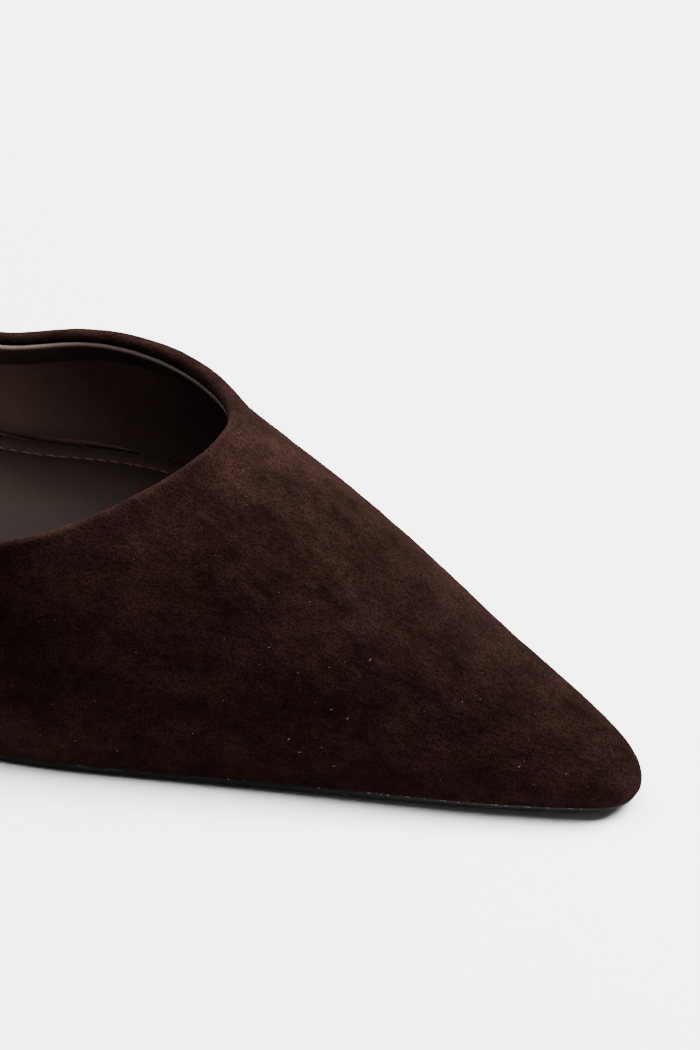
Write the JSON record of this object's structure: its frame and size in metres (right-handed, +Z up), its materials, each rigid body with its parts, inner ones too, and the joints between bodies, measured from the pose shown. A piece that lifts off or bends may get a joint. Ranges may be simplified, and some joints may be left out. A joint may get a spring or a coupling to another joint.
{
  "type": "stiletto pump",
  "caption": "Pointed right pump with a hollow suede upper, low collar, insole, thin sole and slim covered high heel.",
  "frame": {"origin": "middle of the bounding box on the floor that the shoe stands on", "axes": "+X along the shoe to the toe, +Y to the inner (medial) side of the foot, +Z up"},
  "size_m": [0.2352, 0.0778, 0.1351],
  "materials": {
    "upper_suede": "matt suede nap, dark chocolate brown",
    "sock_leather": "smooth grey-brown lining leather, low sheen",
    "black_sole": "black smooth sole leather, satin",
    "heel_suede": "matt suede nap, dark chocolate brown",
    "tip_rubber": "hard black rubber, matt"
  },
  "bodies": {
    "root": {"upper": "upper_suede", "insole": "sock_leather", "outsole": "black_sole", "heel": "heel_suede", "heel_tip": "tip_rubber"}
  },
  "joints": []
}
